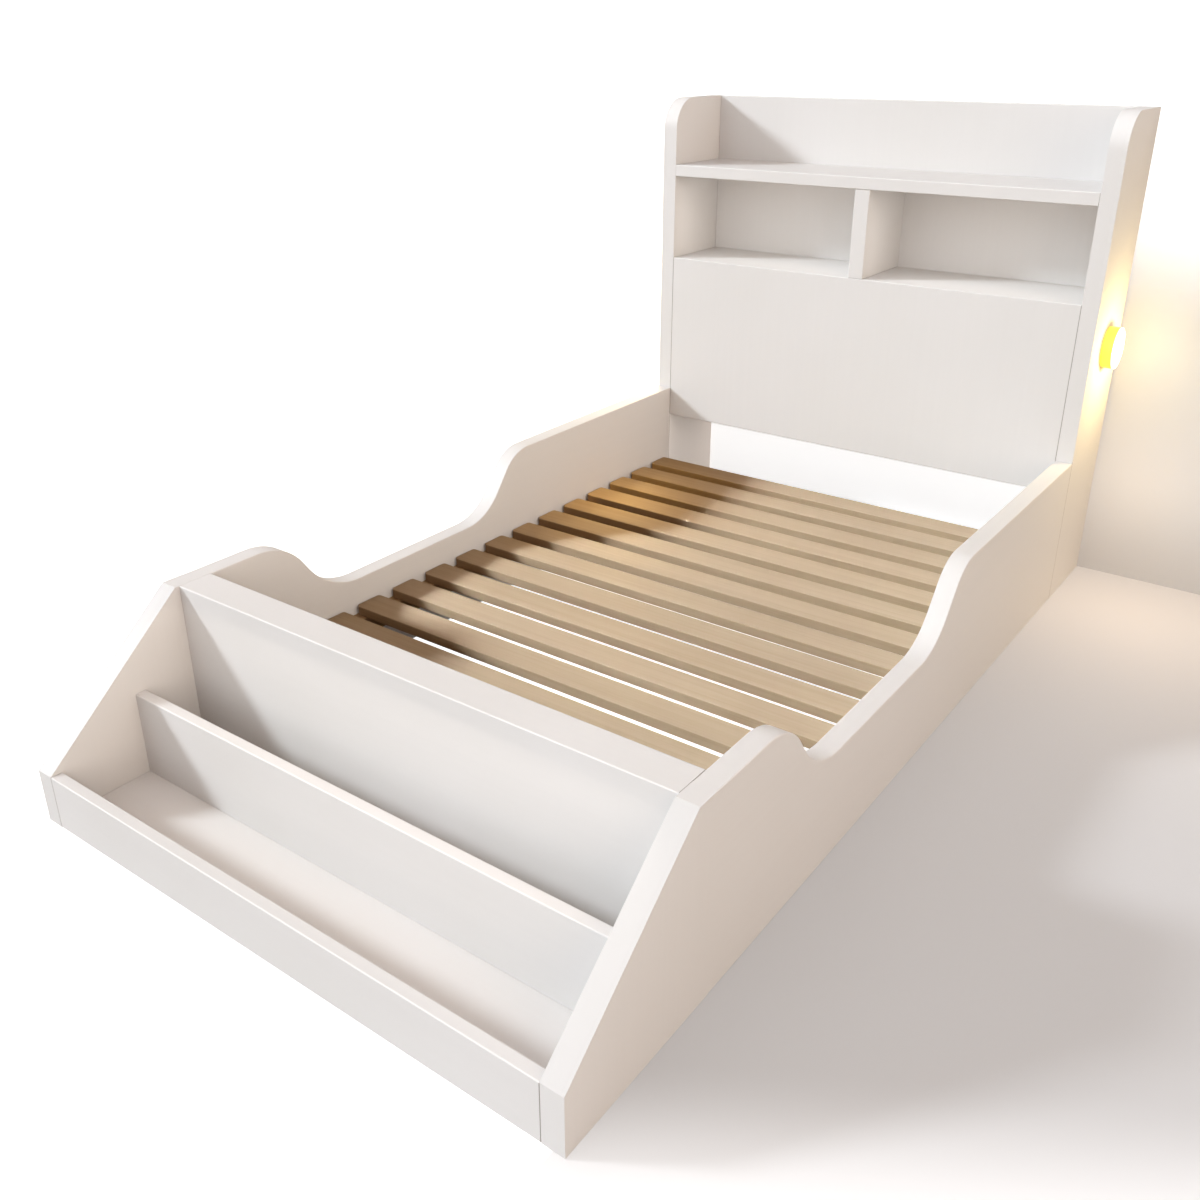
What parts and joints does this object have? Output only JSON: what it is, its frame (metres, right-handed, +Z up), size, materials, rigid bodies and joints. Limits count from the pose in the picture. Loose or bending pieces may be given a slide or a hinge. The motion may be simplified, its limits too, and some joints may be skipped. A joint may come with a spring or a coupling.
{
  "type": "single bed with bookcase headboard",
  "caption": "Low painted child's bed: bookcase headboard with cubbies, wavy side rails on the floor, wooden slats, sloped shelf unit at the foot and a puck night lamp on each side.",
  "frame": {"origin": "on the floor, under the middle of the object's box", "axes": "+X across the bed to its right side as seen from the foot, +Y towards the headboard, +Z up"},
  "size_m": [1.124, 2.026, 1.038],
  "materials": {
    "painted_board": "off-white satin paint with a faint vertical grain",
    "slat_wood": "planed light tan wood, fine grain along the slat",
    "raw_wood": "bare wood",
    "screw_steel": "bright steel",
    "zinc_plate": "zinc plated, dull",
    "lamp_cover": "moulded white",
    "lamp_diffuser": "translucent, glowing warm yellow at the rim and white at the face",
    "lamp_magnet": "plain ferrite",
    "lamp_battery": "shrink sleeve",
    "lamp_circuit": "circuit board"
  },
  "bodies": {
    "bed": {"headboard_side_left": "painted_board", "headboard_side_right": "painted_board", "headboard_back_panel": "painted_board", "headboard_top_shelf": "painted_board", "headboard_lower_shelf": "painted_board", "headboard_divider": "painted_board", "headboard_face_panel": "painted_board", "headboard_base_board": "painted_board", "head_stretcher": "painted_board", "foot_side_left": "painted_board", "foot_side_right": "painted_board", "foot_panel": "painted_board", "foot_shelf_floor": "painted_board", "foot_shelf_divider": "painted_board", "foot_front_rail": "painted_board", "side_rail_left": "painted_board", "side_rail_right": "painted_board", "foot_end_board": "painted_board", "slat_cleat_left": "raw_wood", "slat_cleat_right": "raw_wood", "slat_01": "slat_wood", "slat_02": "slat_wood", "slat_03": "slat_wood", "slat_04": "slat_wood", "slat_05": "slat_wood", "slat_06": "slat_wood", "slat_07": "slat_wood", "slat_08": "slat_wood", "slat_09": "slat_wood", "slat_10": "slat_wood", "slat_11": "slat_wood", "slat_12": "slat_wood", "slat_13": "slat_wood", "slat_14": "slat_wood", "slat_15": "slat_wood", "slat_pegs": "raw_wood", "cleat_screws": "screw_steel", "corner_brackets": "zinc_plate", "bracket_bolts": "screw_steel", "cam_locks": "zinc_plate", "cam_bolts": "screw_steel", "joint_dowels": "raw_wood", "back_panel_screws": "screw_steel", "foot_unit_bolts": "screw_steel", "lamp_plates": "screw_steel"},
    "lamp_left": {"lamp_base_left": "lamp_cover", "lamp_diffuser_left": "lamp_diffuser", "lamp_magnet_left": "lamp_magnet", "lamp_battery_left": "lamp_battery", "lamp_board_left": "lamp_circuit"},
    "lamp_right": {"lamp_base_right": "lamp_cover", "lamp_diffuser_right": "lamp_diffuser", "lamp_magnet_right": "lamp_magnet", "lamp_battery_right": "lamp_battery", "lamp_board_right": "lamp_circuit"},
    "switch_left": {"lamp_switch_left": "lamp_cover"},
    "switch_right": {"lamp_switch_right": "lamp_cover"}
  },
  "joints": [
    {"name": "lamp_left_pull", "type": "slide", "parent": "bed", "child": "lamp_left", "axis": [-1, 0, 0], "range_m": [0, 0.04]},
    {"name": "lamp_right_pull", "type": "slide", "parent": "bed", "child": "lamp_right", "axis": [1, 0, 0], "range_m": [0, 0.04]},
    {"name": "switch_left_slide", "type": "slide", "parent": "lamp_left", "child": "switch_left", "axis": [0, 1, 0], "range_m": [-0.0025, 0.0025]},
    {"name": "switch_right_slide", "type": "slide", "parent": "lamp_right", "child": "switch_right", "axis": [0, 1, 0], "range_m": [-0.0025, 0.0025]}
  ]
}
